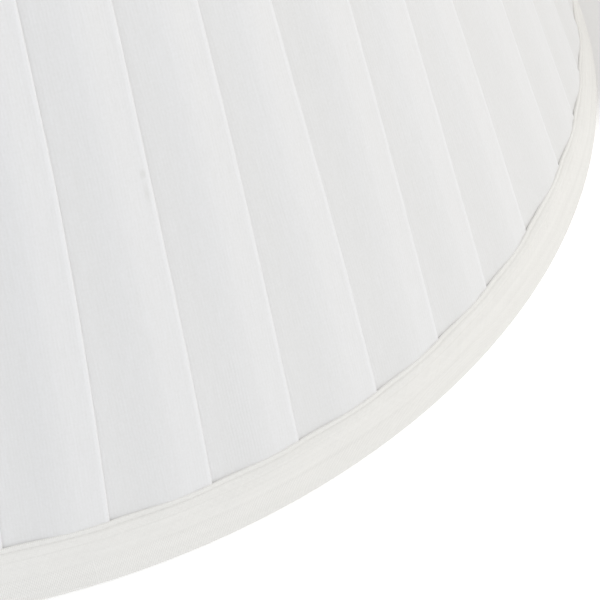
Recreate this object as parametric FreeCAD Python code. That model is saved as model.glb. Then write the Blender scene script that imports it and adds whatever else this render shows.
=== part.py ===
"""Pleated empire lamp shade: a wire frame with a lining, a knife-pleated cover, folded tape trims,
and a reversible gimbal that carries the lamp holder ring and its removable reducer.

Millimetres. +Z is up, the origin is the centre of the bottom rim at the level it stands on, and the
gimbal turns about the X direction. Every sub-part is written to parts/NODE.step.
"""

import math
import os

import FreeCAD
import Part

# ---- driving dimensions ------------------------------------------------------------------------
BOTTOM_DIAMETER = 305.0  # across the bottom trim
TOP_DIAMETER = 150.0  # across the top trim
HEIGHT = 180.0  # from rim to rim, trims included

RING_WIRE_RADIUS = 1.5
STRUT_WIRE_RADIUS = 1.25
STRUT_COUNT = 8
STRUT_FIRST_ANGLE = 22.5  # degrees, so that no strut meets a pivot lug

CLEAR = 0.05  # between one wrapped layer and the next
LINING_THICKNESS = 0.3
COVER_THICKNESS = 1.0  # the pleats, pressed where they are wrapped
TAPE_THICKNESS = 0.55
TRIM_FACE_WIDTH = 9.3  # the trim's outer leg, above the ring wire's centre
TRIM_INNER_WIDTH = 7.0  # the trim's leg inside the shade
LINING_TURN_IN = 4.0  # how far the lining and the cover are turned in past the ring wire
COVER_TURN_IN = 5.0

LUG_WIDTH = 8.0
LUG_THICKNESS = 1.4
LUG_BEND_RADIUS = 1.25  # outside the bend between web and ear
LUG_SLIT_MARGIN = 0.3  # round a lug, in the cloth and the tape
LUG_REACH = 8.0  # from the top ring's centre inwards to the lug's ear
PIVOT_DROP = 7.0  # the pivot axis below the top ring's centre
RIVET_RADIUS = 1.5
RIVET_FIT = 0.08  # radial clearance in the arm's eye and in the washer
RIVET_HEAD_RADIUS = 3.0
RIVET_HEAD_HEIGHT = 1.3
WASHER_RADIUS = 3.6
WASHER_THICKNESS = 0.5
FACE_GAP = 0.05  # between flat faces that slide on each other
TAIL_GAP = 0.15  # behind the peened tail, so that the arm can turn

ARM_WIDTH = 8.0
ARM_THICKNESS = 1.2
ARM_BEND_RADIUS = 2.0  # on the strip's centre line
ARM_SHOULDER = 7.0  # the straight tab below the pivot
ARM_FOOT_LEAD = 1.8  # from the holder ring's edge out to the foot's bend
ARM_FOOT_SETBACK = 0.6  # the foot's end, outside the holder ring's bore
HOLDER_DROP = 30.0  # the holder ring's underside below the pivot

HOLDER_BORE_RADIUS = 21.0
HOLDER_OUTER_RADIUS = 25.5
HOLDER_THICKNESS = 1.2
HOLDER_LIP_HEIGHT = 2.4
HOLDER_LIP_THICKNESS = 1.0

REDUCER_BORE_RADIUS = 14.5
REDUCER_COLLAR_THICKNESS = 1.6
REDUCER_SPIGOT_CLEARANCE = 0.25
REDUCER_SPIGOT_THICKNESS = 1.4
REDUCER_SPIGOT_DEPTH = 3.0
REDUCER_FLANGE_RADIUS = 23.9
REDUCER_FLANGE_THICKNESS = 1.6
REDUCER_RIB_COUNT = 6
REDUCER_RIB_THICKNESS = 1.2
REDUCER_SEAT_GAP = 0.1

# ---- worked out from them ----------------------------------------------------------------------
LINING_INNER = RING_WIRE_RADIUS + CLEAR
LINING_OUTER = LINING_INNER + LINING_THICKNESS
COVER_INNER = LINING_OUTER + CLEAR
COVER_OUTER = COVER_INNER + COVER_THICKNESS
TAPE_INNER = COVER_OUTER + CLEAR
ROLL_RADIUS = TAPE_INNER + TAPE_THICKNESS  # the trim's roll round the ring wire

BOTTOM_RING_RADIUS = BOTTOM_DIAMETER / 2 - ROLL_RADIUS
TOP_RING_RADIUS = TOP_DIAMETER / 2 - ROLL_RADIUS
BOTTOM_RING_Z = ROLL_RADIUS
TOP_RING_Z = HEIGHT - ROLL_RADIUS
SLANT = math.hypot(BOTTOM_RING_RADIUS - TOP_RING_RADIUS, TOP_RING_Z - BOTTOM_RING_Z)

PIVOT_Z = TOP_RING_Z - PIVOT_DROP
EAR_OUTER_X = TOP_RING_RADIUS - LUG_REACH
EAR_INNER_X = EAR_OUTER_X - LUG_THICKNESS
WASHER_OUTER_X = EAR_INNER_X - FACE_GAP
TAB_OUTER_X = WASHER_OUTER_X - WASHER_THICKNESS - FACE_GAP
TAB_INNER_X = TAB_OUTER_X - ARM_THICKNESS
HOLDER_Z = PIVOT_Z - HOLDER_DROP
FLANGE_Z = HOLDER_Z + HOLDER_THICKNESS + REDUCER_SEAT_GAP

Z_AXIS = FreeCAD.Vector(0, 0, 1)
X_AXIS = FreeCAD.Vector(1, 0, 0)
ORIGIN = FreeCAD.Vector(0, 0, 0)


# ---- helpers -----------------------------------------------------------------------------------
def in_section(r, z):
    """A point of the XZ section, at radius r."""
    return FreeCAD.Vector(r, 0, z)


def on_slope(along, out):
    """A section point `along` mm up the cone from the bottom ring's centre and `out` mm outside it."""
    slope_r = (TOP_RING_RADIUS - BOTTOM_RING_RADIUS) / SLANT
    slope_z = (TOP_RING_Z - BOTTOM_RING_Z) / SLANT
    return in_section(
        BOTTOM_RING_RADIUS + along * slope_r + out * slope_z,
        BOTTOM_RING_Z + along * slope_z - out * slope_r,
    )


def line(start, end):
    return Part.LineSegment(start, end).toShape()


def half_turn(along, radius, outwards):
    """The arc round a ring wire, from the outer side of the cone to the inner side or back.

    along is 0 for the bottom ring and SLANT for the top ring.
    """
    beyond = -radius if along == 0 else radius
    start = on_slope(along, -radius if outwards else radius)
    end = on_slope(along, radius if outwards else -radius)
    return Part.Arc(start, on_slope(along + beyond, 0), end).toShape()


def revolved(edges):
    """A closed section of edges, turned a full turn about Z."""
    face = Part.Face(Part.Wire(edges))
    return face.revolve(ORIGIN, Z_AXIS, 360)


def polygon_revolved(points):
    """A ring whose section is a polygon of (radius, z) points."""
    corners = [in_section(r, z) for r, z in points]
    return revolved([line(a, b) for a, b in zip(corners, corners[1:] + corners[:1])])


def wrapped_cloth(inner, outer, turn_in):
    """Cloth over the whole slope, turned in round both ring wires by turn_in."""
    low, high = turn_in, SLANT - turn_in
    return revolved([
        line(on_slope(0, outer), on_slope(SLANT, outer)),
        half_turn(SLANT, outer, False),
        line(on_slope(SLANT, -outer), on_slope(high, -outer)),
        line(on_slope(high, -outer), on_slope(high, -inner)),
        line(on_slope(high, -inner), on_slope(SLANT, -inner)),
        half_turn(SLANT, inner, True),
        line(on_slope(SLANT, inner), on_slope(0, inner)),
        half_turn(0, inner, False),
        line(on_slope(0, -inner), on_slope(low, -inner)),
        line(on_slope(low, -inner), on_slope(low, -outer)),
        line(on_slope(low, -outer), on_slope(0, -outer)),
        half_turn(0, outer, True),
    ])


def tape_trim(ring_along):
    """Tape folded round one ring wire, with a wide leg outside and a narrower one inside."""
    step = 1 if ring_along == 0 else -1
    face_end = ring_along + step * TRIM_FACE_WIDTH
    inner_end = ring_along + step * TRIM_INNER_WIDTH
    return revolved([
        line(on_slope(face_end, ROLL_RADIUS), on_slope(ring_along, ROLL_RADIUS)),
        half_turn(ring_along, ROLL_RADIUS, False),
        line(on_slope(ring_along, -ROLL_RADIUS), on_slope(inner_end, -ROLL_RADIUS)),
        line(on_slope(inner_end, -ROLL_RADIUS), on_slope(inner_end, -TAPE_INNER)),
        line(on_slope(inner_end, -TAPE_INNER), on_slope(ring_along, -TAPE_INNER)),
        half_turn(ring_along, TAPE_INNER, True),
        line(on_slope(ring_along, TAPE_INNER), on_slope(face_end, TAPE_INNER)),
        line(on_slope(face_end, TAPE_INNER), on_slope(face_end, ROLL_RADIUS)),
    ])


def turned(shape, degrees):
    """A copy turned about Z."""
    copy = shape.copy()
    copy.rotate(ORIGIN, Z_AXIS, degrees)
    return copy


def rod(radius, x_start, x_end, z):
    """A cylinder along X between two stations."""
    low = min(x_start, x_end)
    return Part.makeCylinder(radius, abs(x_end - x_start), FreeCAD.Vector(low, 0, z), X_AXIS)


def plate(x_low, x_high, width, z_low, z_high):
    """A box centred on Y = 0."""
    corner = FreeCAD.Vector(x_low, -width / 2, z_low)
    return Part.makeBox(x_high - x_low, width, z_high - z_low, corner)


def dome(radius, height, x_base, x_top, z):
    """A shallow dome on the plane x_base, its crown at x_top."""
    sphere_radius = (radius**2 + height**2) / (2 * height)
    inward = 1 if x_base > x_top else -1
    centre = FreeCAD.Vector(x_top + inward * sphere_radius, 0, z)
    return Part.makeSphere(sphere_radius, centre).common(rod(radius, x_base, x_top, z))


# ---- frame -------------------------------------------------------------------------------------
def ring_wire(radius, z):
    centre = FreeCAD.Vector(0, 0, z)
    return Part.makeTorus(radius, RING_WIRE_RADIUS, centre, Z_AXIS)


def struts(top_ring, bottom_ring):
    """Straight wires between the rings, their ends coped to the ring wires they are welded to."""
    foot, head = on_slope(0, 0), on_slope(SLANT, 0)
    wire = Part.makeCylinder(STRUT_WIRE_RADIUS, SLANT, foot, head.sub(foot))
    coped = wire.cut(top_ring).cut(bottom_ring)
    spacing = 360 / STRUT_COUNT
    return [turned(coped, STRUT_FIRST_ANGLE + n * spacing) for n in range(STRUT_COUNT)]


def pivot_lug(top_ring):
    """A bent plate on the +X side: a web welded to the top ring, and an ear with the rivet's hole."""
    half = LUG_THICKNESS / 2
    web = plate(EAR_INNER_X, TOP_RING_RADIUS, LUG_WIDTH, TOP_RING_Z - half, TOP_RING_Z + half)
    ear = plate(EAR_INNER_X, EAR_OUTER_X, LUG_WIDTH, PIVOT_Z, TOP_RING_Z + half)
    round_end = rod(LUG_WIDTH / 2, EAR_INNER_X, EAR_OUTER_X, PIVOT_Z)
    body = web.fuse([ear, round_end]).removeSplitter()
    corner = [
        edge for edge in body.Edges
        if abs(edge.CenterOfMass.x - EAR_INNER_X) < 0.01
        and abs(edge.CenterOfMass.z - (TOP_RING_Z + half)) < 0.01
    ]
    body = body.makeFillet(LUG_BEND_RADIUS, corner)
    hole = rod(RIVET_RADIUS, EAR_INNER_X - 1, EAR_OUTER_X + 1, PIVOT_Z)
    return body.cut(hole).cut(top_ring)


def lug_slit():
    """The slit that the cloth and the tape have round a lug's web."""
    half = LUG_THICKNESS / 2 + LUG_SLIT_MARGIN
    return plate(
        TOP_RING_RADIUS - 2 * ROLL_RADIUS, TOP_RING_RADIUS,
        LUG_WIDTH + 2 * LUG_SLIT_MARGIN, TOP_RING_Z - half, TOP_RING_Z + half,
    )


def pivot_rivet():
    """Domed head outside the ear, plain shank, and a peened tail inside the arm's tab."""
    tail_x = TAB_INNER_X - TAIL_GAP
    shank = rod(RIVET_RADIUS, tail_x, EAR_OUTER_X, PIVOT_Z)
    head = dome(
        RIVET_HEAD_RADIUS, RIVET_HEAD_HEIGHT, EAR_OUTER_X, EAR_OUTER_X + RIVET_HEAD_HEIGHT, PIVOT_Z
    )
    tail = dome(RIVET_HEAD_RADIUS, RIVET_HEAD_HEIGHT, tail_x, tail_x - RIVET_HEAD_HEIGHT, PIVOT_Z)
    return shank.fuse([head, tail]).removeSplitter()


def pivot_washer():
    outer = rod(WASHER_RADIUS, WASHER_OUTER_X - WASHER_THICKNESS, WASHER_OUTER_X, PIVOT_Z)
    eye = rod(RIVET_RADIUS + RIVET_FIT, WASHER_OUTER_X - 2, WASHER_OUTER_X + 1, PIVOT_Z)
    return outer.cut(eye)


# ---- gimbal ------------------------------------------------------------------------------------
def bent_strip_face(corners, thickness, bend_radius):
    """The section of a strip that follows corners, given as (x, z), with round bends."""
    points = [in_section(x, z) for x, z in corners]
    sides = {+1: [], -1: []}  # the two long sides, as edges in order
    last = {+1: None, -1: None}

    def offset(direction, side):
        return FreeCAD.Vector(-direction.z, 0, direction.x) * (side * thickness / 2)

    for side in sides:
        direction = (points[1] - points[0]).normalize()
        last[side] = points[0] + offset(direction, side)
    for before, at, after in zip(points, points[1:], points[2:]):
        arriving = (at - before).normalize()
        leaving = (after - at).normalize()
        turn = arriving.getAngle(leaving)
        setback = bend_radius * math.tan(turn / 2)
        start, end = at - arriving * setback, at + leaving * setback
        to_centre = (leaving - arriving).normalize()
        centre = at + to_centre * (bend_radius / math.cos(turn / 2))
        for side in sides:
            arc_start = start + offset(arriving, side)
            arc_end = end + offset(leaving, side)
            middle = centre - to_centre * (arc_start - centre).Length
            sides[side].append(line(last[side], arc_start))
            sides[side].append(Part.Arc(arc_start, middle, arc_end).toShape())
            last[side] = arc_end
    direction = (points[-1] - points[-2]).normalize()
    first_direction = (points[1] - points[0]).normalize()
    for side in sides:
        sides[side].append(line(last[side], points[-1] + offset(direction, side)))
    ends = [
        line(points[0] + offset(first_direction, +1), points[0] + offset(first_direction, -1)),
        line(points[-1] + offset(direction, +1), points[-1] + offset(direction, -1)),
    ]
    loop = Part.__sortEdges__(sides[+1] + sides[-1] + ends)
    return Part.Face(Part.Wire(loop))


def gimbal_arm():
    """The +X arm: a tab with the rivet's eye, a slanting strip, and a foot under the holder ring."""
    tab_x = (TAB_OUTER_X + TAB_INNER_X) / 2
    foot_z = HOLDER_Z - ARM_THICKNESS / 2
    corners = [
        (tab_x, PIVOT_Z + ARM_WIDTH / 2),
        (tab_x, PIVOT_Z - ARM_SHOULDER),
        (HOLDER_OUTER_RADIUS + ARM_FOOT_LEAD, foot_z),
        (HOLDER_BORE_RADIUS + ARM_FOOT_SETBACK, foot_z),
    ]
    face = bent_strip_face(corners, ARM_THICKNESS, ARM_BEND_RADIUS)
    strip = face.extrude(FreeCAD.Vector(0, ARM_WIDTH, 0))
    strip.translate(FreeCAD.Vector(0, -ARM_WIDTH / 2, 0))
    beyond = plate(TAB_INNER_X - 1, TAB_OUTER_X + 1, 2 * ARM_WIDTH, PIVOT_Z, PIVOT_Z + ARM_WIDTH)
    round_end = rod(ARM_WIDTH / 2, TAB_INNER_X - 1, TAB_OUTER_X + 1, PIVOT_Z)
    eye = rod(RIVET_RADIUS + RIVET_FIT, TAB_INNER_X - 2, TAB_OUTER_X + 2, PIVOT_Z)
    return strip.cut(beyond.cut(round_end)).cut(eye)


def holder_ring():
    """The pressed steel ring that sits on a lamp holder, with a stiffening lip round its edge."""
    top = HOLDER_Z + HOLDER_THICKNESS
    lip_inner = HOLDER_OUTER_RADIUS - HOLDER_LIP_THICKNESS
    return polygon_revolved([
        (HOLDER_BORE_RADIUS, HOLDER_Z),
        (HOLDER_OUTER_RADIUS, HOLDER_Z),
        (HOLDER_OUTER_RADIUS, HOLDER_Z + HOLDER_LIP_HEIGHT),
        (lip_inner, HOLDER_Z + HOLDER_LIP_HEIGHT),
        (lip_inner, top),
        (HOLDER_BORE_RADIUS, top),
    ])


def reducer():
    """The moulded ring that narrows the holder ring's hole: flange, spigot, bore collar and ribs."""
    flange_top = FLANGE_Z + REDUCER_FLANGE_THICKNESS
    foot = HOLDER_Z + HOLDER_THICKNESS - REDUCER_SPIGOT_DEPTH
    collar_outer = REDUCER_BORE_RADIUS + REDUCER_COLLAR_THICKNESS
    spigot_outer = HOLDER_BORE_RADIUS - REDUCER_SPIGOT_CLEARANCE
    spigot_inner = spigot_outer - REDUCER_SPIGOT_THICKNESS
    body = polygon_revolved([
        (REDUCER_BORE_RADIUS, foot),
        (collar_outer, foot),
        (collar_outer, FLANGE_Z),
        (spigot_inner, FLANGE_Z),
        (spigot_inner, foot),
        (spigot_outer, foot),
        (spigot_outer, FLANGE_Z),
        (REDUCER_FLANGE_RADIUS, FLANGE_Z),
        (REDUCER_FLANGE_RADIUS, flange_top),
        (REDUCER_BORE_RADIUS, flange_top),
    ])
    overlap = REDUCER_COLLAR_THICKNESS / 2
    rib = plate(
        collar_outer - overlap, spigot_inner + overlap, REDUCER_RIB_THICKNESS, foot, FLANGE_Z + overlap
    )
    spacing = 360 / REDUCER_RIB_COUNT
    ribs = [turned(rib, n * spacing) for n in range(REDUCER_RIB_COUNT)]
    return body.fuse(ribs).removeSplitter()


# ---- assembly ----------------------------------------------------------------------------------
def build():
    """Every node's name and its solid."""
    top_ring = ring_wire(TOP_RING_RADIUS, TOP_RING_Z)
    bottom_ring = ring_wire(BOTTOM_RING_RADIUS, BOTTOM_RING_Z)
    slits = [lug_slit(), turned(lug_slit(), 180)]
    nodes = {
        "top_ring": top_ring,
        "bottom_ring": bottom_ring,
        "lining": wrapped_cloth(LINING_INNER, LINING_OUTER, LINING_TURN_IN).cut(slits),
        "pleated_cover": wrapped_cloth(COVER_INNER, COVER_OUTER, COVER_TURN_IN).cut(slits),
        "top_trim": tape_trim(SLANT).cut(slits),
        "bottom_trim": tape_trim(0),
        "holder_ring": holder_ring(),
        "reducer_ring": reducer(),
    }
    for n, strut in enumerate(struts(top_ring, bottom_ring)):
        nodes[f"strut_{n + 1}"] = strut
    right_side = {
        "pivot_lug": pivot_lug(top_ring),
        "pivot_rivet": pivot_rivet(),
        "pivot_washer": pivot_washer(),
        "gimbal_arm": gimbal_arm(),
    }
    for name, shape in right_side.items():
        nodes[f"{name}_right"] = shape
        nodes[f"{name}_left"] = turned(shape, 180)
    return nodes


def main():
    os.makedirs("parts", exist_ok=True)
    for name, shape in sorted(build().items()):
        solids = shape.Solids
        if not solids or not shape.isValid():
            raise RuntimeError(f"{name} is not a valid solid")
        whole = solids[0] if len(solids) == 1 else Part.makeCompound(solids)
        whole.exportStep(f"parts/{name}.step")
        print(f"{name}: {len(solids)} solid(s), {whole.Volume:.1f} mm3")


main()
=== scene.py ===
"""A pleated empire lamp shade: cloth, tape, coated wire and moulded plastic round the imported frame.

Lengths are in metres, +Z is up, and the shade's axis is the Z axis. The soft parts are surfaces on
the cone through the two ring wires. A place on that cone has three numbers: an angle about the
axis, a distance up the slope from the bottom ring's centre, and a distance out from the cone.
"""

from __future__ import annotations

import logging
import math
from dataclasses import dataclass, field
from enum import Enum

import bpy
import numpy as np
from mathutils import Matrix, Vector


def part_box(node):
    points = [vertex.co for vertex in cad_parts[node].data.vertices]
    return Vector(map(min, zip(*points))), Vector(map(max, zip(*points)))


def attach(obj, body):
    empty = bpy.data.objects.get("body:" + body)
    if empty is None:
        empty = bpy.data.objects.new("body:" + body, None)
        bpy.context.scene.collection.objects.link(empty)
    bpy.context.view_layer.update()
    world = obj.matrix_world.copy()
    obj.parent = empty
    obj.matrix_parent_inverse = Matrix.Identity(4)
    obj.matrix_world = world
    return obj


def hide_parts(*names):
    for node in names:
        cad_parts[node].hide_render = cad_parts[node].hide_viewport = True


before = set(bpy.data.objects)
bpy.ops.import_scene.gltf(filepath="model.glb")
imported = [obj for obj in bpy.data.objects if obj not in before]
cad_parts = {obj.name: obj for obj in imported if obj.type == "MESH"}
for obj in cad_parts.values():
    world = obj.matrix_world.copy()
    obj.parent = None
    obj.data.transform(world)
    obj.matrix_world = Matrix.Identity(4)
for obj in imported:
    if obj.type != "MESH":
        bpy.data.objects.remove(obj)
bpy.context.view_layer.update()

MM = 0.001
TURN = 2 * math.pi
log = logging.getLogger("lamp_shade")


# ---- shapes ------------------------------------------------------------------------------------
def smooth_step(t: np.ndarray) -> np.ndarray:
    """The cubic 3t^2 - 2t^3 between 0 and 1, and flat outside."""
    held = np.clip(t, 0, 1)
    return held * held * (3 - 2 * held)


def bump_at(t: np.ndarray, centre: float, width: float) -> np.ndarray:
    """A bell curve: e to the minus the square of the distance from centre, in widths."""
    return np.exp(-(((t - centre) / width) ** 2))


def grid_piece(
    name: str, points: np.ndarray, maps: dict[str, np.ndarray], closed: tuple[bool, bool]
) -> bpy.types.Object:
    """A surface from a grid of points, with a quad between each four neighbours.

    A face runs (i, j), (i+1, j), (i+1, j+1), (i, j+1), so its outside is where the first
    direction turns left into the second.

    Args:
        name: The piece's name.
        points: An array of rows by columns by 3.
        maps: UV maps by name, each an array one row or column longer than points in a closed
            direction, so that the pattern runs on across the join.
        closed: Whether the rows, and whether the columns, join up into a loop.

    Returns:
        The new object, linked to the scene.
    """
    rows, columns = points.shape[:2]
    quads = [count if joined else count - 1 for count, joined in zip((rows, columns), closed)]
    i, j = np.meshgrid(*map(np.arange, quads), indexing="ij")
    corner_i = np.stack([i, i + 1, i + 1, i], -1).reshape(-1)
    corner_j = np.stack([j, j, j + 1, j + 1], -1).reshape(-1)
    mesh = bpy.data.meshes.new(name)
    mesh.vertices.add(rows * columns)
    mesh.vertices.foreach_set("co", points.astype(np.float32).ravel())
    mesh.loops.add(len(corner_i))
    corners = (corner_i % rows) * columns + corner_j % columns
    mesh.loops.foreach_set("vertex_index", corners.astype(np.int32))
    mesh.polygons.add(len(corner_i) // 4)
    mesh.polygons.foreach_set("loop_start", np.arange(0, len(corner_i), 4, dtype=np.int32))
    mesh.polygons.foreach_set("use_smooth", np.ones(len(corner_i) // 4, bool))
    mesh.update(calc_edges=True)
    for map_name, values in maps.items():
        layer = mesh.uv_layers.new(name=map_name)
        layer.data.foreach_set("uv", values[corner_i, corner_j].astype(np.float32).ravel())
    piece = bpy.data.objects.new(name, mesh)
    bpy.context.scene.collection.objects.link(piece)
    return piece


def loop_lengths(points: np.ndarray) -> np.ndarray:
    """How far along a line each of its points lies, from 0 at the first."""
    steps = np.linalg.norm(np.diff(points, axis=0), axis=1)
    return np.concatenate([[0.0], np.cumsum(steps)])


def thicken(piece: bpy.types.Object, thickness: float) -> None:
    """Gives an open sheet its thickness, half on each side, with closed rims.

    Args:
        piece: The sheet.
        thickness: Metres.
    """
    solid = piece.modifiers.new("cloth thickness", "SOLIDIFY")
    solid.thickness = thickness
    solid.offset = 0.0
    solid.use_rim = True


def wear(pieces: list[bpy.types.Object], material: bpy.types.Material, slot: str) -> None:
    """Gives soft pieces of the frame body their cloth.

    Args:
        pieces: The pieces.
        material: Their material.
        slot: The record's material slot; not used.
    """
    for piece in pieces:
        piece.data.materials.append(material)
        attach(piece, "frame")


def stand(
    thing: bpy.types.Object, right: np.ndarray, up: np.ndarray, back: np.ndarray, place: np.ndarray
) -> None:
    """Puts a camera or a light into the scene.

    Args:
        thing: The camera or light, which looks away from back.
        right: The direction of its X axis.
        up: The direction of its Y axis.
        back: The direction of its Z axis.
        place: Where it stands.
    """
    matrix = np.eye(4)
    matrix[:3] = np.stack([right, up, back, place], -1)
    bpy.context.scene.collection.objects.link(thing)
    thing.matrix_world = matrix.T.tolist()


@dataclass(frozen=True)
class Cone:
    """The cone through the centres of the two ring wires."""

    bottom_radius: float
    top_radius: float
    bottom_z: float
    top_z: float
    overhang: float = 1.0 * MM

    @classmethod
    def of_frame(cls) -> Cone:
        """The cone that the two ring wires of the frame give.

        Returns:
            The cone.
        """
        (low, high), (top_low, top_high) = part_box("bottom_ring"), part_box("top_ring")
        return cls(
            bottom_radius=high.x - (high.z - low.z) / 2,
            top_radius=top_high.x - (top_high.z - top_low.z) / 2,
            bottom_z=(high.z + low.z) / 2,
            top_z=(top_high.z + top_low.z) / 2,
        )

    @property
    def slant(self) -> float:
        """The distance up the slope from one ring's centre to the other's."""
        return math.hypot(self.bottom_radius - self.top_radius, self.top_z - self.bottom_z)

    @property
    def inward(self) -> float:
        """The share of a step up the slope that goes towards the axis."""
        return (self.bottom_radius - self.top_radius) / self.slant

    @property
    def upward(self) -> float:
        """The share of a step up the slope that goes up."""
        return (self.top_z - self.bottom_z) / self.slant

    @property
    def cloth_rise(self) -> float:
        """The length up the slope of a cloth that goes a little past both rings."""
        return self.slant + 2 * self.overhang

    def rows(self, count: int) -> np.ndarray:
        """Even distances up the slope for the rows of such a cloth, as a column."""
        return np.linspace(-self.overhang, self.slant + self.overhang, count)[:, None]

    def radius(self, along: np.ndarray) -> np.ndarray:
        """The cone's radius at a distance up the slope."""
        return self.bottom_radius - along * self.inward

    def place(self, angle: np.ndarray, along: np.ndarray, out: np.ndarray) -> np.ndarray:
        """Points in space, for angles from -Y towards +X, distances up the slope, and out of it.

        The radius is the bottom radius, less along times the inward share, plus out times the
        upward share. The height is the bottom ring's, plus along times the upward share, plus
        out times the inward share.

        Args:
            angle: Radians.
            along: Metres up the slope from the bottom ring's centre.
            out: Metres out from the cone, at right angles to it.

        Returns:
            An array of points, shaped as the arguments broadcast.
        """
        radius = self.radius(along) + out * self.upward
        height = self.bottom_z + along * self.upward + out * self.inward
        return np.stack(
            np.broadcast_arrays(radius * np.sin(angle), -radius * np.cos(angle), height + 0 * angle), -1
        )


# ---- shader maths ------------------------------------------------------------------------------
Number = "Value | float"


class Value:
    """A shader number. An expression on values adds its own Math nodes."""

    def __init__(self, recipe: Recipe, socket: bpy.types.NodeSocket) -> None:
        """Wraps a socket of the recipe's tree."""
        self.recipe = recipe
        self.socket = socket

    def _math(self, operation: str, *numbers: Number, clamp: bool = False) -> Value:
        """One Math node.

        Args:
            operation: The node's operation.
            numbers: The values or plain numbers of its sockets, in order.
            clamp: Whether the result is kept from 0 to 1.

        Returns:
            The node's result.
        """
        settings = {"operation": operation, "use_clamp": clamp}
        made = self.recipe.node("ShaderNodeMath", settings, dict(enumerate(numbers)))
        return Value(self.recipe, made.outputs[0])

    def __add__(self, other: Number) -> Value:
        """self + other"""
        return self._math("ADD", self, other)

    def __sub__(self, other: Number) -> Value:
        """self - other"""
        return self._math("SUBTRACT", self, other)

    def __rsub__(self, other: Number) -> Value:
        """other - self"""
        return self._math("SUBTRACT", other, self)

    def __mul__(self, other: Number) -> Value:
        """self * other"""
        return self._math("MULTIPLY", self, other)

    def __truediv__(self, other: Number) -> Value:
        """self / other"""
        return self._math("DIVIDE", self, other)

    __radd__ = __add__
    __rmul__ = __mul__

    def sine(self) -> Value:
        """The sine of self, in radians."""
        return self._math("SINE", self)

    def clamped(self) -> Value:
        """self kept from 0 to 1."""
        return self._math("ADD", self, 0.0, clamp=True)

    def rise(self, start: float, end: float) -> Value:
        """0 before start, 1 past end, and an eased rise between them.

        Args:
            start: Where the rise begins.
            end: Where it is complete; before start for a fall.

        Returns:
            The eased value.
        """
        settings = {"interpolation_type": "SMOOTHSTEP", "clamp": True}
        made = self.recipe.node(
            "ShaderNodeMapRange", settings, {"Value": self, "From Min": start, "From Max": end}
        )
        return Value(self.recipe, made.outputs[0])

    def ridge(self, centre: float, width: float) -> Value:
        """1 where self is at centre, falling to 0 at width on each side."""
        return (1 - self._math("ABSOLUTE", self - centre) / width).clamped()


class Recipe:
    """A procedural material being built."""

    def __init__(self, name: str) -> None:
        """Starts an empty material of that name.

        Args:
            name: The material's name.
        """
        self.material = bpy.data.materials.new(name)
        self.material.use_nodes = True
        self.tree = self.material.node_tree
        self.tree.nodes.clear()

    def node(self, kind: str, settings: dict | None = None, values: dict | None = None) -> bpy.types.Node:
        """Adds one node.

        Args:
            kind: The node's type.
            settings: Its own settings, set first.
            values: What each input socket holds, by name or number: a value, a socket or a constant.

        Returns:
            The node.
        """
        made = self.tree.nodes.new(kind)
        for name, setting in (settings or {}).items():
            setattr(made, name, setting)
        for key, value in (values or {}).items():
            source = value.socket if isinstance(value, Value) else value
            if isinstance(source, bpy.types.NodeSocket):
                self.tree.links.new(source, made.inputs[key])
            else:
                made.inputs[key].default_value = source
        return made

    def value(self, made: bpy.types.Node, output: str | int = 0) -> Value:
        """A node's output as a number for expressions."""
        return Value(self, made.outputs[output])

    def x_and_y(self, vector: bpy.types.NodeSocket) -> tuple[Value, Value]:
        """The first two coordinates of a vector."""
        split = self.node("ShaderNodeSeparateXYZ", values={0: vector})
        return self.value(split, 0), self.value(split, 1)

    def cloth_place(self, map_name: str) -> tuple[Value, Value]:
        """A UV map's two coordinates, which are metres on the cloth."""
        return self.x_and_y(self.node("ShaderNodeUVMap", {"uv_map": map_name}).outputs[0])

    def noise(
        self, vector: bpy.types.NodeSocket, scale: float, detail: float = 2.0, roughness: float = 0.5
    ) -> Value:
        """Fractal noise about 0.5.

        Args:
            vector: Where the noise is read.
            scale: Features for each unit of the vector.
            detail: Octaves.
            roughness: How strong the finer octaves are.

        Returns:
            The noise, from 0 to 1.
        """
        values = {"Vector": vector, "Scale": scale, "Detail": detail, "Roughness": roughness}
        return self.value(self.node("ShaderNodeTexNoise", values=values))

    def grain(self, x: Number, y: Number, detail: float = 2.0, roughness: float = 0.5) -> Value:
        """Fractal noise on cloth, for two coordinates already scaled to its features."""
        place = self.node("ShaderNodeCombineXYZ", values={0: x, 1: y})
        return self.noise(place.outputs[0], 1.0, detail, roughness)

    def object_place(self) -> bpy.types.NodeSocket:
        """Object coordinates, which are metres in the shade's own frame."""
        return self.node("ShaderNodeTexCoord").outputs["Object"]

    def tone(self, factor: Number, low: tuple, high: tuple) -> bpy.types.NodeSocket:
        """A colour between low, at factor 0, and high, at factor 1.

        Args:
            factor: From 0 to 1.
            low: One colour.
            high: The other.

        Returns:
            The colour's socket.
        """
        settings = {"data_type": "RGBA"}
        values = {"Factor": factor, 6: (*low, 1.0), 7: (*high, 1.0)}
        return self.node("ShaderNodeMix", settings, values).outputs[2]

    def relief(self, height: Value) -> bpy.types.NodeSocket:
        """A bumped normal, for a height in metres."""
        values = {"Strength": 1.0, "Distance": 1.0, "Height": height}
        return self.node("ShaderNodeBump", values=values).outputs[0]

    def surface(self, values: dict) -> bpy.types.Material:
        """Ends the material with a Principled shader that holds these socket values.

        Args:
            values: What each of its sockets holds.

        Returns:
            The finished material.
        """
        shader = self.node("ShaderNodeBsdfPrincipled", values=values)
        self.node("ShaderNodeOutputMaterial", values={0: shader.outputs[0]})
        return self.material


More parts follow.
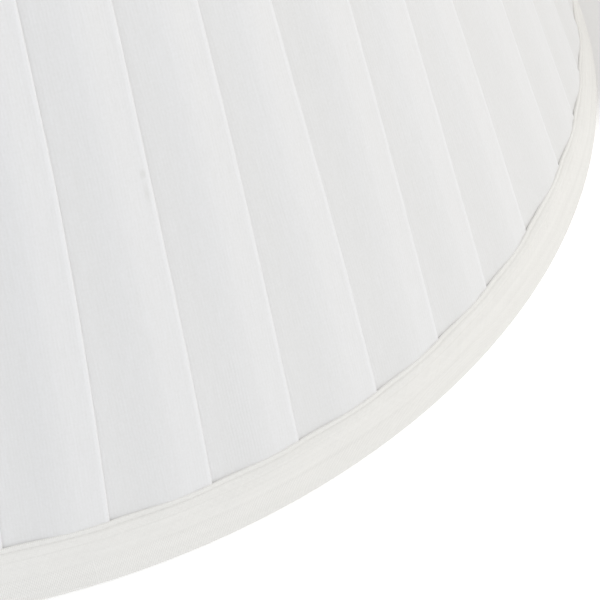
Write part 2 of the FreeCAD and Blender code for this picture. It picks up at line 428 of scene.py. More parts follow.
# ---- finishes ----------------------------------------------------------------------------------
@dataclass(frozen=True)
class PleatedCotton:
    """Fine white cloth in pleats. It is painted whiter over more layers, as show-through of the dark inside,
    so hidden edges show.
    """

    # Painted light and shade: the tone of one shaded layer and of the lit, stacked layers.
    single_layer_shaded: tuple[float, float, float] = (0.734, 0.733, 0.720)
    stacked_layers_lit: tuple[float, float, float] = (0.825, 0.826, 0.829)
    rib: float = 0.52 * MM
    slub_height: float = 0.006 * MM
    rib_height: float = 0.003 * MM
    thick_thread: float = 26.0 * MM
    knots: tuple[tuple[float, float], ...] = ((64.6 * MM, 0.9 * MM), (61.4 * MM, 2.4 * MM))

    def material(self) -> bpy.types.Material:
        """The cloth's material, which reads the Cloth, Laps and Folds maps.

        Returns:
            The material.
        """
        recipe = Recipe("pleated_cotton")
        across, along = recipe.cloth_place("Cloth")
        past_tuck, past_fold = recipe.cloth_place("Laps")
        to_fold, _ = recipe.cloth_place("Folds")
        layers = self.layers(recipe, along, past_tuck, past_fold, to_fold)
        slubs = recipe.grain(across * 2300, along * 230, 1.5, 0.6)
        clouds = recipe.grain(across * 70, along * 26)
        weft = recipe.grain(across * 260, along * 2300)
        sway = recipe.grain(across * 90, along * 90, 1.0)
        ribs = (across * (TURN / self.rib) + sway * 5.0).sine()
        flecks = recipe.grain(across * 300, along * 260, 1.0).rise(0.80, 0.86)
        flecks = flecks + self.knotted_thread(across, along)
        fuzz = recipe.grain(across * 2800, along * 1900, 1.0)
        weave = (slubs + fuzz + clouds * 0.4 + weft * 0.3 - 1.35) * 0.5 + ribs * 0.05
        height = (slubs + weft) * self.slub_height + ribs * self.rib_height
        return recipe.surface({
            "Base Color": recipe.tone((layers + weave - flecks).clamped(), self.single_layer_shaded, self.stacked_layers_lit),
            "Roughness": 0.86,
            "Specular IOR Level": 0.25,
            "Sheen Weight": 0.1,
            "Sheen Roughness": 0.5,
            "Normal": recipe.relief(height),
        })

    def knotted_thread(self, across: Value, along: Value) -> Value:
        """The knots in one thick thread, each at a place and with half a length up the slope.

        Args:
            across: Metres across the cloth.
            along: Metres up the slope.

        Returns:
            How dark the knots are, and 0 away from them.
        """
        marks = [
            along.ridge(place, length) / (1.0 + fainter)
            for fainter, (place, length) in enumerate(self.knots)
        ]
        return across.ridge(self.thick_thread, 0.65 * MM) * sum(marks) * 1.3

    @staticmethod
    def layers(recipe: Recipe, along: Value, past_tuck: Value, past_fold: Value, to_fold: Value) -> Value:
        """Painted light and shade on the pleats, from the layers beneath and at each fold.

        Args:
            recipe: The material being built.
            along: Metres up the slope.
            past_tuck: Metres past the hidden edge of this pleat's underlap.
            past_fold: Metres past the fold of the pleat on the left.
            to_fold: Metres to this pleat's own fold.

        Returns:
            0 over one layer, and about 1 on a fold.
        """
        drift = recipe.grain(0.0, along * 30) * (3 * MM)
        # Painted show-through: whiter over more layers, which also stands in for the shading up each panel.
        soft = (past_tuck + drift).rise(-4.5 * MM, 3.0 * MM) * 0.24
        crisp = past_tuck.rise(-0.4 * MM, 0.4 * MM) * 0.06
        # Painted shade along each hidden tuck edge, a painted highlight on each fold, and painted light in
        # the shade beside it.
        tuck_shade_line = past_tuck.ridge(-0.2 * MM, 0.8 * MM) * 0.05
        fold_highlight = to_fold.ridge(0.0, 0.9 * MM) * 0.6
        painted_light_beside_fold = past_fold.rise(3.5 * MM, 0.0) * 0.14 + past_fold.ridge(0.0, 0.9 * MM) * 0.6
        return 0.24 + soft + crisp - tuck_shade_line + fold_highlight + painted_light_beside_fold


@dataclass(frozen=True)
class PlainCotton:
    """Closely woven lining cloth, seen from inside the shade."""

    shade_side: tuple[float, float, float] = (0.78, 0.775, 0.765)
    light_side: tuple[float, float, float] = (0.86, 0.855, 0.845)
    yarn: float = 0.34 * MM
    yarn_height: float = 0.004 * MM
    stitch: float = 2.6 * MM
    stitch_rows: tuple[float, float] = (-18.6 * MM, -14.4 * MM)

    def material(self) -> bpy.types.Material:
        """The lining's material, which reads the Cloth map. Its stitches show on the seam only.

        Returns:
            The material.
        """
        recipe = Recipe("lining_cotton")
        across, along = recipe.cloth_place("Cloth")
        warp = recipe.grain(across * 2200, along * 60)
        weft = recipe.grain(across * 60, along * 2200)
        clouds = recipe.grain(across * 30, along * 30, 3.0)
        weave = (across * (TURN / self.yarn)).sine() * (along * (TURN / self.yarn)).sine()
        near_row = sum(across.ridge(row, 0.4 * MM) for row in self.stitch_rows)
        stitches = near_row * (along * (TURN / self.stitch)).sine().rise(-0.5, 0.1)
        threads = (warp - 0.5) * 0.6 + (weft - 0.5) * 0.6 + (clouds - 0.5) * 0.8
        shade = 0.5 + threads - near_row * 0.4 + stitches
        height = weave * self.yarn_height + (warp + weft) * self.yarn_height + stitches * (0.12 * MM)
        return recipe.surface({
            "Base Color": recipe.tone(shade.clamped(), self.shade_side, self.light_side),
            "Roughness": 0.88,
            "Specular IOR Level": 0.2,
            "Sheen Weight": 0.1,
            "Normal": recipe.relief(height),
        })


@dataclass(frozen=True)
class BiasTape:
    """Cotton tape cut on the cross, so that its threads run at 45 degrees to its length."""

    # Painted light and shade: the tape's tone in shade and in light.
    hollow_in_shade: tuple[float, float, float] = (0.725, 0.717, 0.685)
    crown_in_light: tuple[float, float, float] = (0.862, 0.854, 0.822)
    thread: float = 0.42 * MM
    thread_height: float = 0.012 * MM
    crease: float = 0.75 * MM
    hem_end: float = 2.4 * MM
    turn_under: float = 6.3 * MM

    def material(self) -> bpy.types.Material:
        """The tape's material, which reads the Cloth map.

        Returns:
            The material.
        """
        recipe = Recipe("bias_tape")
        along, across = recipe.cloth_place("Cloth")
        one_way = along + across
        other_way = along - across
        turn = TURN / (self.thread * math.sqrt(2))
        uneven = recipe.grain(along * 300, across * 300, 1.0)
        threads = (one_way * turn + uneven * 2.0).sine() * (other_way * turn + uneven * 2.0).sine()
        slub_one = recipe.grain(one_way * 1500, other_way * 130)
        slub_other = recipe.grain(one_way * 130, other_way * 1500)
        strain = recipe.grain(along * 28, across * 1000)
        clouds = recipe.grain(along * 60, across * 240)
        drawn = (across + (uneven - 0.5) * MM).rise(5.4 * MM, 6.8 * MM)
        # Painted light and shade on the tape: its threads lit and their hollows shaded, more strongly low on
        # the face; the slubs, strain and clouds are the cloth's own tone.
        shade = (
            0.62
            + threads * (0.08 + drawn * 0.62)
            + (slub_one - 0.5) * 0.38
            + (slub_other - 0.5) * 0.28
            + (strain - 0.5) * 0.55
            + (clouds - 0.5) * 0.25
            - self.creases(recipe, along, across)
            # Painted shade: darker from 7.5 mm in from the edge, where the tape rolls under the ring.
            - across.rise(7.5 * MM, 10 * MM) * 0.14
        )
        height = (threads + slub_one + slub_other) * self.thread_height
        return recipe.surface({
            "Base Color": recipe.tone(shade.clamped(), self.hollow_in_shade, self.crown_in_light),
            "Roughness": 0.84,
            "Specular IOR Level": 0.25,
            "Sheen Weight": 0.1,
            "Normal": recipe.relief(height),
        })

    def creases(self, recipe: Recipe, along: Value, across: Value) -> Value:
        """Painted shade: dark lines in the groove beside the folded edge and where the turned hem ends
        beneath.

        Args:
            recipe: The material being built.
            along: Metres along the tape.
            across: Metres in from its outer edge.

        Returns:
            How dark the lines are, about 0 away from them.
        """
        wander = (recipe.grain(along * 70, 0.0) - 0.5) * (0.5 * MM)
        faint = recipe.grain(along * 110, 3.0)
        placed = across + wander
        return (
            placed.ridge(self.crease, 0.34 * MM) * (0.25 + faint * 0.5)
            + placed.ridge(self.hem_end, 0.30 * MM) * (faint * 0.42)
            + placed.ridge(self.hem_end + 1.5 * MM, 0.5 * MM) * (faint * 0.15)
            + placed.ridge(self.turn_under, 0.6 * MM) * (faint * 0.35)
        )


@dataclass(frozen=True)
class CoatedSteel:
    """White baked coating on steel: a fine orange peel, and a trace of wear."""

    name: str
    coat: tuple[float, float, float] = (0.80, 0.80, 0.78)
    worn: tuple[float, float, float] = (0.66, 0.65, 0.62)

    def material(self) -> bpy.types.Material:
        """The coating's material.

        Returns:
            The material.
        """
        recipe = Recipe(self.name)
        place = recipe.object_place()
        peel = recipe.noise(place, 1500.0, 2.0)
        handled = recipe.noise(place, 90.0, 4.0, 0.65)
        specks = recipe.noise(place, 900.0, 3.0, 0.7).rise(0.68, 0.76)
        wear = handled.rise(0.56, 0.8) * 0.5 + specks * 0.5
        return recipe.surface({
            "Base Color": recipe.tone(wear.clamped(), self.coat, self.worn),
            "Roughness": (0.32 + handled * 0.22).clamped(),
            "Coat Weight": 0.25,
            "Coat Roughness": 0.2,
            "Normal": recipe.relief(peel * (0.012 * MM)),
        })


@dataclass(frozen=True)
class ZincPlate:
    """Dull zinc plating on a small pressed part."""

    dark: tuple[float, float, float] = (0.40, 0.40, 0.40)
    light: tuple[float, float, float] = (0.66, 0.66, 0.65)

    def material(self) -> bpy.types.Material:
        """The plating's material.

        Returns:
            The material.
        """
        recipe = Recipe("zinc_plate")
        place = recipe.object_place()
        spangle = recipe.noise(place, 700.0, 3.0, 0.6)
        tool_marks = recipe.noise(place, 4000.0, 2.0)
        return recipe.surface({
            "Base Color": recipe.tone(spangle, self.dark, self.light),
            "Metallic": 1.0,
            "Roughness": (0.28 + spangle * 0.3).clamped(),
            "Normal": recipe.relief(tool_marks * (0.01 * MM)),
        })


@dataclass(frozen=True)
class MouldedPlastic:
    """White moulded plastic, with a fine spark texture from the mould."""

    name: str
    low: tuple[float, float, float] = (0.78, 0.775, 0.755)
    high: tuple[float, float, float] = (0.85, 0.845, 0.83)
    roughness: float = 0.34

    def material(self) -> bpy.types.Material:
        """The plastic's material.

        Returns:
            The material.
        """
        recipe = Recipe(self.name)
        place = recipe.object_place()
        flow = recipe.noise(place, 60.0, 3.0)
        spark = recipe.noise(place, 2600.0, 2.0)
        return recipe.surface({
            "Base Color": recipe.tone(flow, self.low, self.high),
            "Roughness": (self.roughness + (spark - 0.5) * 0.12).clamped(),
            "Subsurface Weight": 0.08,
            "Subsurface Radius": (0.002, 0.002, 0.0018),
            "Normal": recipe.relief(spark * (0.008 * MM)),
        })


@dataclass(frozen=True)
class StudioFloor:
    """A pale floor that glows a little in its own colour, with painted shade where its tone falls off past
    the lamp shade's side.
    """

    # The near floor's colour, and the far floor's colour in painted shade.
    near: tuple[float, float, float] = (0.93, 0.93, 0.93)
    far: tuple[float, float, float] = (0.62, 0.615, 0.605)

    def material(self) -> bpy.types.Material:
        """The floor's material. It isn't seen from below, so the shade's inside can be.

        Returns:
            The material.
        """
        recipe = Recipe("studio_floor")
        x, y = recipe.x_and_y(recipe.object_place())
        grain = recipe.noise(recipe.object_place(), 8.0, 2.0)
        reach = y + x * 0.2 + (grain - 0.5) * 0.01
        # Painted shade: the floor is darker beyond a slanting line near the front of the lamp shade.
        colour = recipe.tone(reach.rise(-0.055, -0.030), self.near, self.far)
        shader = recipe.node("ShaderNodeBsdfPrincipled", values={
            "Base Color": colour,
            "Roughness": 0.6,
            "Specular IOR Level": 0.2,
            # Painted light: the floor glows in its own colour, so it stays white even in the lamp shade's
            # shadow.
            "Emission Color": colour,
            "Emission Strength": 0.3,
        })
        clear = recipe.node("ShaderNodeBsdfTransparent")
        below = recipe.node("ShaderNodeNewGeometry").outputs["Backfacing"]
        sides = {0: below, 1: shader.outputs[0], 2: clear.outputs[0]}
        mixed = recipe.node("ShaderNodeMixShader", values=sides)
        recipe.node("ShaderNodeOutputMaterial", values={0: mixed.outputs[0]})
        return recipe.material


# ---- the cover ---------------------------------------------------------------------------------
class Run(Enum):
    """The runs of one pleat's cloth, in order.

    HIDDEN and SEEN are the panel, under and past its left neighbour's fold. FOLD is its own fold,
    RETURN goes back under it, and TUCK turns the cloth into the next panel.
    """

    HIDDEN = 0
    SEEN = 1
    FOLD = 2
    RETURN = 3
    TUCK = 4


@dataclass(frozen=True)
class PleatedCover:
    """One strip of cloth folded into knife pleats round the cone.

    From left to right a pleat is a panel, which starts tucked under its left neighbour and ends
    in the fold that lies on its right neighbour, and a return, which goes back under it.
    """

    cone: Cone
    count: int = 54
    first_fold: float = math.radians(1.98)
    lean: float = math.radians(0.37) / (10 * MM)
    lean_start: float = 9.2 * MM
    settled: float = 60.0 * MM
    strip_per_pleat: float = 27.0 * MM
    base: float = 2.02 * MM
    cloth: float = 0.16 * MM
    end_layer: float = 0.18 * MM
    middle_layer: float = 0.27 * MM
    fold_lift: float = 0.07 * MM
    puff: float = 0.42 * MM
    end_press: float = 0.20 * MM
    rise_share: float = 0.62
    lift_reach: float = 3.2 * MM
    nose_length: float = 0.28 * MM
    rows: int = 37

    @property
    def pitch(self) -> float:
        """The mean angle from one fold to the next."""
        return TURN / self.count

    def spacing_error(self, number: np.ndarray, along: np.ndarray) -> np.ndarray:
        """How far a fold is from its even place, in pitches.

        It is a sum of waves round the shade, with whole numbers of waves so that it closes, and
        it eases from one sum to another in the lower third of the slope.

        Args:
            number: The fold's number.
            along: Metres up the slope.

        Returns:
            The error, of the arguments' broadcast shape.
        """
        turn = TURN * number / self.count
        low = -0.072 * np.cos(11 * turn) + 0.052 * np.sin(16 * turn + 0.25) + 0.019 * np.sin(24 * turn + 0.63)
        high = 0.033 * np.sin(7 * turn + 0.19) + 0.043 * np.cos(14 * turn) - 0.045 * np.sin(20 * turn + 1.06)
        risen = np.clip((along - self.lean_start) / self.settled, 0, 1)
        return low * (1 - risen) + high * risen

    def fold_angle(self, number: np.ndarray, along: np.ndarray) -> np.ndarray:
        """The angle of a fold at a distance up the slope.

        It is the fold's own place, plus the lean up the slope, plus a small sway between the rings.

        Args:
            number: The fold's number.
            along: Metres up the slope.

        Returns:
            Radians from -Y towards +X.
        """
        up = along / self.cone.slant
        even = self.first_fold + (number + self.spacing_error(number, along)) * self.pitch
        sway = math.radians(0.12) * np.sin(TURN * (up * 1.3 + 0.37 * number))
        return even + self.lean * (along - self.lean_start) + sway * np.sin(math.pi * np.clip(up, 0, 1))

    def underlap(self, along: np.ndarray) -> np.ndarray:
        """The angle that the cloth goes back under a fold: half of the strip that isn't seen."""
        radius = self.cone.radius(along)
        return (self.strip_per_pleat / radius - self.pitch) / 2

    def looseness(self, along: np.ndarray) -> np.ndarray:
        """0 at both rings, where the cover is pressed flat, and 1 midway up the slope."""
        up = np.clip(along / self.cone.slant, 0, 1)
        return np.sin(math.pi * up) ** 0.7

    def layer(self, along: np.ndarray) -> np.ndarray:
        """The height that one layer takes: pressed flat at both rings and looser between them."""
        return self.end_layer + (self.middle_layer - self.end_layer) * self.looseness(along)

    def inside(self, along: np.ndarray) -> np.ndarray:
        """How far out from the cone the cover's innermost layer lies, a little more at both rings."""
        return self.base + self.end_press * (1 - self.looseness(along))

    def stack(self, number: np.ndarray, angle: np.ndarray, along: np.ndarray) -> np.ndarray:
        """The height of a panel: two layers for each tuck under it, each met by an eased rise.

        Args:
            number: The panel's number.
            angle: Where on the panel.
            along: How far up the slope.

        Returns:
            The height of the panel's own layer over the base.
        """
        ramp = self.rise_share * self.pitch
        height = np.zeros(np.broadcast(number, angle, along).shape)
        for ahead in range(4):
            tuck = self.fold_angle(number + ahead, along) - self.underlap(along)
            height = height + smooth_step((angle - tuck + ramp) / ramp)
        return 2 * self.layer(along) * height

    def top_layer(self, angle: np.ndarray, along: float) -> np.ndarray:
        """How far out the cover's outer surface is at one distance up the slope.

        Args:
            angle: Where round the shade, any number of turns.
            along: How far up the slope.

        Returns:
            The distance out from the cone.
        """
        numbers = np.arange(-2, self.count + 4).astype(float)
        folds = self.fold_angle(numbers, along)
        turned = folds[1] + np.mod(angle - folds[1], TURN)
        number = numbers[np.searchsorted(folds, turned)]
        return self.inside(along) + self.cloth / 2 + self.stack(number, turned, along)

    @staticmethod
    def stations() -> tuple[np.ndarray, np.ndarray]:
        """Where one pleat's columns stand.

        Returns:
            The run that each column is in, and its share of that run or its angle round the fold.
        """
        runs = {
            Run.HIDDEN: [0.0, 0.5],
            Run.SEEN: [0.0, 0.09, 0.2, 0.34, 0.48, 0.62, 0.75, 0.86, 0.94, 1.0],
            Run.FOLD: [math.radians(50), 0.0, math.radians(-50)],
            Run.RETURN: [0.0, 0.5, 1.0],
            Run.TUCK: [math.radians(45), math.radians(-45)],
        }
        kinds = np.concatenate([np.full(len(shares), run.value) for run, shares in runs.items()])
        return kinds, np.concatenate(list(runs.values()))

    def build(self) -> bpy.types.Object:
        """Makes the folded strip as one closed sheet.

        Each row is one turn round the shade at its distance up the slope. A panel's columns go
        from its left neighbour's tuck to its own fold at the stack's height, a fold and a tuck are
        half ellipses between two layers, and a return lies one layer under its panel.

        Returns:
            The cover.
        """
        kinds, shares = self.stations()
        columns = np.arange(self.count * len(kinds) + 1)[None, :]
        number = (columns // len(kinds)).astype(float)
        kind = kinds[columns % len(kinds)]
        share = shares[columns % len(kinds)]
        along = self.cone.rows(self.rows)
        radius = self.cone.radius(along)
        layer = self.layer(along)
        loose = self.looseness(along)
        fold = self.fold_angle(number, along)
        last_fold = self.fold_angle(number - 1, along)
        under = self.underlap(along)
        wave = np.sin(2.4 * number) * np.sin(5 * np.clip(along / self.cone.slant, 0, 1) + number)
        lift = self.fold_lift * loose * (1 + 0.4 * wave)
        nose_out = (layer + lift) / 2
        nose = (self.nose_length + 0.25 * lift) / radius
        angle = np.choose(kind, [
            last_fold - under * (1 - share),
            last_fold + share * (fold - nose - last_fold),
            fold - nose + nose * np.cos(share),
            fold - nose - share * (under - nose),
            fold - under - 0.5 * layer / radius * np.cos(share),
        ])
        panel = self.stack(number, angle, along)
        lifted = panel + lift * np.exp(-(((fold - angle) * radius / self.lift_reach) ** 2))
        swell = np.sin(math.pi * np.clip((share - 0.3) / 0.7, 0, 1)) ** 2
        height = np.choose(kind, [
            lifted,
            lifted + self.puff * (0.35 + loose) * swell,
            self.stack(number, fold - nose, along) - layer + nose_out * (1 + np.sin(share)),
            panel - layer,
            self.stack(number + 1, fold - under, along) + 0.5 * layer * (1 + np.sin(share)),
        ])
        base = self.inside(along) + self.unevenness(angle, along) * loose
        points = self.cone.place(angle, along, base + height)
        maps = self.maps(number, angle, along, kind)
        piece = grid_piece("pleated_cover_cloth", points[:, :-1], maps, (False, True))
        thicken(piece, self.cloth)
        return piece

    @staticmethod
    def unevenness(angle: np.ndarray, along: np.ndarray) -> np.ndarray:
        """Slow hollows and swells of the whole cover, as a sum of crossed waves.

        Args:
            angle: Where round the shade.
            along: How far up the slope.

        Returns:
            Distances out.
        """
        return 0.10 * MM * (
            np.sin(31 * angle + along / (23 * MM)) * np.sin(along / (17 * MM) + 1.3)
            + np.sin(47 * angle - along / (31 * MM) + 2.0) * np.cos(along / (26 * MM))
        )

    def maps(
        self, number: np.ndarray, angle: np.ndarray, along: np.ndarray, kind: np.ndarray
    ) -> dict[str, np.ndarray]:
        """The cover's three maps, in metres.

        Args:
            number: Each column's pleat.
            angle: Each point's angle.
            along: Each row's distance up the slope.
            kind: The run that each column is in.

        Returns:
            Cloth: across and along the cloth, whose threads run beside the fold. Laps: how far
            past its pleat's tuck, and past the last fold, a point lies. Folds: how far it is
            from its own fold, and the distance up the slope.
        """
        radius = self.cone.radius(along)
        fold = self.fold_angle(number, along)
        last_fold = self.fold_angle(number - 1, along)
        on_top = kind <= Run.FOLD.value
        to_fold = (fold - angle) * radius
        across = number * self.strip_per_pleat + np.where(on_top, -to_fold, to_fold)
        past_tuck = np.where(on_top, self.underlap(along) * radius - to_fold, 0.0)
        past_fold = np.where(on_top, (angle - last_fold) * radius, 0.0)
        rows = np.broadcast_to(along, angle.shape)
        return {
            "Cloth": np.stack([across, rows], -1),
            "Laps": np.stack([past_tuck, past_fold], -1),
            "Folds": np.stack([np.where(on_top, to_fold, 1.0), rows], -1),
        }

    def dress(self, piece: bpy.types.Object) -> None:
        """Gives the cover its cloth and hides the frame's own cover node.

        Args:
            piece: The cover.
        """
        wear([piece], PleatedCotton().material(), "pleated_cloth")
        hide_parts("pleated_cover")
        flat = (self.count * self.strip_per_pleat, self.cone.cloth_rise)


# ---- the trims ---------------------------------------------------------------------------------
class Rim(Enum):
    """Which ring a trim goes round."""

    BOTTOM = "bottom"
    TOP = "top"


@dataclass(frozen=True)
class TapeTrim:
    """Bias tape with both edges turned under, folded round one ring over the pleats' ends."""

    cone: Cone
    rim: Rim
    cover: PleatedCover
    face: float = 9.3 * MM
    inner_leg: float = 7.0 * MM
    roll: float = 3.5 * MM
    tape: float = 0.55 * MM
    bridge: float = 1.8 * MM
    sink: float = 0.10 * MM
    waver: float = 0.9 * MM
    columns: int = 648
    join_angle: float = math.radians(205)
    lap: float = 12.0 * MM
    lap_lift: float = 0.22 * MM

    @property
    def node(self) -> str:
        """The CAD node that the trim stands for."""
        return f"{self.rim.value}_trim"

    @property
    def ring_radius(self) -> float:
        """The radius of the ring that the tape goes round."""
        return self.cone.bottom_radius if self.rim is Rim.BOTTOM else self.cone.top_radius

    def up_slope(self, distance: np.ndarray | float) -> np.ndarray | float:
        """A distance from this ring along the slope, counted up from the bottom ring."""
        return distance if self.rim is Rim.BOTTOM else self.cone.slant - distance

    def waver_at(self, angle: np.ndarray) -> np.ndarray:
        """How far the tape's edge strays up or down the slope, as slow waves round the shade.

        Args:
            angle: Where round the ring.

        Returns:
            Distances along the slope.
        """
        if self.rim is Rim.TOP:
            return self.waver * (0.3 * np.sin(3 * angle) + 0.2 * np.sin(8 * angle + 1.0))
        broad = -np.cos(4 * (angle - math.radians(16)))
        return self.waver * (broad + 0.12 * np.sin(11 * angle) + 0.08 * np.sin(23 * angle + 2.0))

    def press_at(self, angle: np.ndarray) -> np.ndarray:
        """How far in the tape's outer edge goes to rest on the pleats, which it bridges at a fold.

        It is the gap from the tape's back to the cover's top layer, as a mean over the bridge's
        length on each side, and a little more, as the tape sinks into the pleats.

        Args:
            angle: Evenly spaced angles round the ring.

        Returns:
            The distance in, for each angle.
        """
        edge = self.up_slope(self.face)
        spread = np.linspace(-self.bridge, self.bridge, 9)[:, None] / self.cone.radius(edge)
        top = self.cover.top_layer(angle[None, :] + spread, edge).mean(axis=0)
        return np.maximum(self.roll - self.tape - top + self.sink, 0.0)

    def profile(self) -> tuple[np.ndarray, np.ndarray]:
        """The tape's closed section, from its outer edge down, round the ring, up the inner leg
        and back along its hidden side.

        The face has a groove beside its folded edge and a shallow step where the turned hem ends.
        The two edges are half circles of half the tape's thickness, and the roll is a half circle
        round the ring wire.

        Returns:
            Distances up the slope from the ring (down it at the top rim), and distances out.
        """
        half = self.tape / 2
        back = self.roll - self.tape
        front = self.roll - 0.10 * MM
        face = np.concatenate([
            np.linspace(self.face - half, self.face - 3.4 * MM, 26),
            np.linspace(self.face - 3.8 * MM, 0, 9),
        ])
        below_edge = self.face - face
        hem = 0.10 * MM * (1 - smooth_step((below_edge - 2.3 * MM) / (0.7 * MM)))
        groove = 0.14 * MM * bump_at(below_edge, 1.0 * MM, 0.24 * MM)
        ridge = 0.05 * MM * bump_at(below_edge, 2.1 * MM, 0.25 * MM)
        turn = np.linspace(0, math.pi, 15)[1:-1]
        inner = np.linspace(0, self.inner_leg - half, 14)
        inner_hem = 0.12 * MM * smooth_step((inner - self.inner_leg + 3 * MM) / (0.8 * MM))
        cap = np.linspace(math.pi / 2, -math.pi / 2, 7)[1:-1]
        runs = [
            (face, front + hem - groove + ridge),
            (-(self.roll - 0.05 * MM) * np.sin(turn), front * np.cos(turn)),
            (inner, -front - inner_hem),
            (self.inner_leg - half + half * np.cos(cap), half - self.roll - half * np.sin(cap)),
            (np.linspace(self.inner_leg - half, 0, 4), np.full(4, -back)),
            (-back * np.sin(turn[::-1]), back * np.cos(turn[::-1])),
            (np.linspace(0, self.face - half, 6), np.full(6, back)),
            (self.face - half + half * np.cos(cap[::-1]), self.roll - half + half * np.sin(cap[::-1])),
        ]
        along, out = (np.concatenate(parts) for parts in zip(*runs))
        return along, out

    def swept(self, name: str, start: float, end: float, columns: int, extra: float) -> bpy.types.Object:
        """Carries the section round the ring, from one angle to another.

        Args:
            name: The piece's name.
            start: The first angle.
            end: The last angle; a full turn further for a closed ring.
            columns: How many sections.
            extra: How far out the whole tape is lifted.

        Returns:
            The piece.
        """
        along, out = self.profile()
        closed = abs(end - start - TURN) < 1e-6
        angle = np.linspace(start, end, columns + 1)
        rolled = along < 0
        along = along + extra * np.where(rolled, along / self.roll, 0)
        away = extra * np.where(rolled, out / self.roll, np.sign(out))
        outer = (out > 0)[:, None]
        share = np.clip(along / self.face, 0, 1)[:, None]
        near_edge = smooth_step((along - self.face + 4 * MM) / (4 * MM))[:, None]
        step = along[:, None] + outer * share * self.waver_at(angle)
        shift = self.ripple(angle) * np.sin(math.pi * share) - near_edge * self.press_at(angle)
        points = self.cone.place(angle, self.up_slope(step), (out + away)[:, None] + outer * shift)
        section = np.stack([along, out], -1)
        lengths = loop_lengths(np.concatenate([section, section[:1]]))
        cloth = np.stack(np.broadcast_arrays(angle * self.ring_radius, lengths[:, None]), -1)
        if closed:
            points = points[:, :-1]
        piece = grid_piece(name, self.outward(points), {"Cloth": self.outward(cloth)}, (True, closed))
        if not closed:
            self.cap_ends(piece, len(along), columns + 1)
        return piece

    def outward(self, grid: np.ndarray) -> np.ndarray:
        """The grid in the order that turns its faces outwards, which is reversed at the top rim."""
        return grid if self.rim is Rim.BOTTOM else grid[::-1]

    @staticmethod
    def cap_ends(piece: bpy.types.Object, rows: int, columns: int) -> None:
        """Closes the two cut ends of an open sweep, each with one face round its section.

        Args:
            piece: The sweep.
            rows: How many points its section has.
            columns: How many sections it has.
        """
        grid = np.arange(rows * columns).reshape(rows, columns)
        mesh = piece.data
        quads = np.zeros(len(mesh.loops), np.int32)
        mesh.loops.foreach_get("vertex_index", quads)
        mesh.loops.add(2 * rows)
        corners = np.concatenate([quads, grid[:, 0], grid[::-1, -1]])
        mesh.loops.foreach_set("vertex_index", corners.astype(np.int32))
        mesh.polygons.add(2)
        starts = np.append(np.arange(0, len(quads), 4), [len(quads), len(quads) + rows])
        mesh.polygons.foreach_set("loop_start", starts.astype(np.int32))
        mesh.update(calc_edges=True)

    @staticmethod
    def ripple(angle: np.ndarray) -> np.ndarray:
        """How the tape's face bulges between its edges along the ring, as uneven waves.

        Args:
            angle: Where round the ring.

        Returns:
            Distances out.
        """
        return 0.10 * MM * (
            np.sin(29 * angle + 2 * np.sin(5 * angle)) + 0.6 * np.sin(71 * angle + 3 * np.sin(3 * angle))
        )

    def build(self) -> list[bpy.types.Object]:
        """Makes the ring of tape, and the lapped end that covers its join.

        Returns:
            The ring and the lapped end.
        """
        ring = self.swept(f"{self.node}_tape", 0.0, TURN, self.columns, 0.0)
        end = self.join_angle + self.lap / self.ring_radius
        return [ring, self.swept(f"{self.node}_lap", self.join_angle, end, 12, self.lap_lift)]

    def dress(self, pieces: list[bpy.types.Object], material: bpy.types.Material) -> None:
        """Gives the tape its cloth and hides the frame's own trim node.

        Args:
            pieces: The ring and its lapped end.
            material: The tape's material.
        """
        wear(pieces, material, "trim_tape")
        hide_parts(self.node)
        width = self.face + self.inner_leg + math.pi * (self.roll - self.tape / 2)
        TURN * self.ring_radius


